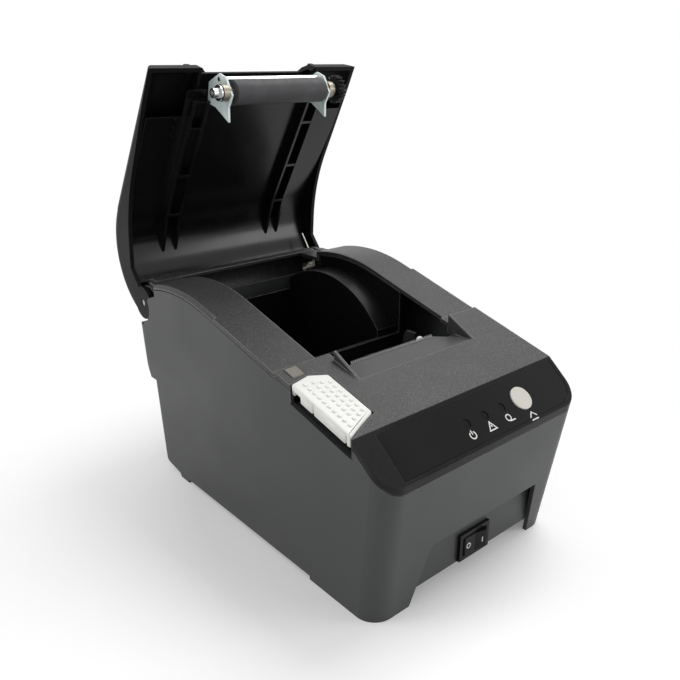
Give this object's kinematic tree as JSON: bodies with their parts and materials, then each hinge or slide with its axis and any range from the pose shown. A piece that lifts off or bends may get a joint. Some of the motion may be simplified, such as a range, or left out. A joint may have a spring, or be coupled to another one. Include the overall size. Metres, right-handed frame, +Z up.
{
  "type": "receipt printer",
  "caption": "Clamshell thermal receipt printer with open hinged lid carrying the platen, sprung release and feed buttons, tear bar, paper bin and rocker switch.",
  "frame": {"origin": "middle of the resting plane, on the central rubber pad, half way between the front and rear feet", "axes": "+Z up, front of the printer towards -Y, its power switch and button band facing -Y, release button on the -X side"},
  "size_m": [0.1416, 0.2402, 0.2357],
  "materials": {
    "case_plastic": "satin",
    "base_plastic": "satin",
    "foot_rubber": "matt",
    "screw_steel": "plain",
    "cover_plastic": "fine texture",
    "band_plastic": "smooth",
    "tear_plastic": "satin",
    "cap_plastic": "satin",
    "bin_plastic": "polished",
    "sensor_plastic": "smooth",
    "mech_plastic": "satin",
    "head_ceramic": "glazed",
    "head_aluminium": "satin",
    "spring_steel": "bright",
    "motor_steel": "zinc plated",
    "brass": "machined",
    "white_nylon": "satin",
    "white_plastic": "satin",
    "zinc_sheet": "zinc plated",
    "pin_steel": "ground",
    "feed_plastic": "satin",
    "smoke_plastic": "clear tint",
    "board_green": "solder mask",
    "switch_plastic": "smooth",
    "port_steel": "zinc plated",
    "port_plastic": "satin",
    "lid_plastic": "polished inside",
    "chrome_rod": "polished",
    "platen_rubber": "ground",
    "bush_bronze": "sintered",
    "gear_nylon": "satin"
  },
  "bodies": {
    "case": {"lower_case": "case_plastic", "base_plate": "base_plastic", "rubber_feet": "foot_rubber", "base_screws": "screw_steel", "top_cover": "cover_plastic", "control_band": "band_plastic", "tear_bar": "tear_plastic", "edge_cap": "cap_plastic", "paper_bin": "bin_plastic", "roll_guard": "bin_plastic", "paper_sensor": "sensor_plastic", "mech_frame": "mech_plastic", "print_head": "head_ceramic", "heat_sink": "head_aluminium", "head_springs": "spring_steel", "stepper_motor": "motor_steel", "release_spring": "spring_steel", "button_tray": "mech_plastic", "latch_pin": "pin_steel", "feed_switch": "sensor_plastic", "led_pipes": "smoke_plastic", "control_board": "board_green", "main_board": "board_green", "switch_bezel": "switch_plastic", "rear_plate": "port_steel", "power_jack": "port_plastic", "data_port": "port_steel", "drawer_port": "port_plastic", "hinge_pins": "pin_steel"},
    "lid": {"lid_shell": "lid_plastic", "lid_liner": "lid_plastic", "lid_spring": "spring_steel", "platen_frame": "zinc_sheet", "guide_rod": "chrome_rod", "shaft_bushes": "bush_bronze"},
    "platen": {"platen_shaft": "pin_steel", "platen_rubber": "platen_rubber", "platen_gear": "gear_nylon", "shaft_clips": "spring_steel"},
    "release": {"release_button": "white_plastic"},
    "latch": {"latch_lever": "zinc_sheet"},
    "feed": {"feed_button": "feed_plastic"},
    "rocker": {"switch_rocker": "switch_plastic"},
    "idler": {"idler_gear": "white_nylon"},
    "pinion": {"motor_pinion": "brass"}
  },
  "joints": [
    {"name": "lid_hinge", "type": "hinge", "parent": "case", "child": "lid", "pos_m": [0, 0.108, 0.1065], "axis": [1, 0, 0], "range_deg": [0, 76]},
    {"name": "platen_spin", "type": "hinge", "parent": "lid", "child": "platen", "pos_m": [0, 0.0632, 0.2221], "axis": [1, 0, 0], "continuous": true},
    {"name": "release_press", "type": "slide", "parent": "case", "child": "release", "axis": [0, 0, -1], "range_m": [0, 0.003], "stiffness_N_per_m": 900, "deforming": ["release_spring"]},
    {"name": "latch_turn", "type": "hinge", "parent": "case", "child": "latch", "pos_m": [0, -0.03, 0.08], "axis": [1, 0, 0], "range_deg": [0, 8]},
    {"name": "feed_press", "type": "slide", "parent": "case", "child": "feed", "axis": [0, 0.6353, -0.7723], "range_m": [0, 0.0008], "stiffness_N_per_m": 1200},
    {"name": "power_rocker", "type": "hinge", "parent": "case", "child": "rocker", "pos_m": [0.003, -0.082, 0.0155], "axis": [0, 0, 1], "range_deg": [0, 14]},
    {"name": "idler_spin", "type": "hinge", "parent": "case", "child": "idler", "pos_m": [0.04, -0.0175, 0.07439], "axis": [1, 0, 0], "continuous": true},
    {"name": "pinion_spin", "type": "hinge", "parent": "case", "child": "pinion", "pos_m": [0.04, -0.0285, 0.06958], "axis": [1, 0, 0], "continuous": true}
  ],
  "couplings": [
    {"joint": "latch_turn", "follows": "release_press", "rad_per_m": 46.542},
    {"joint": "pinion_spin", "follows": "idler_spin", "ratio": -2}
  ]
}
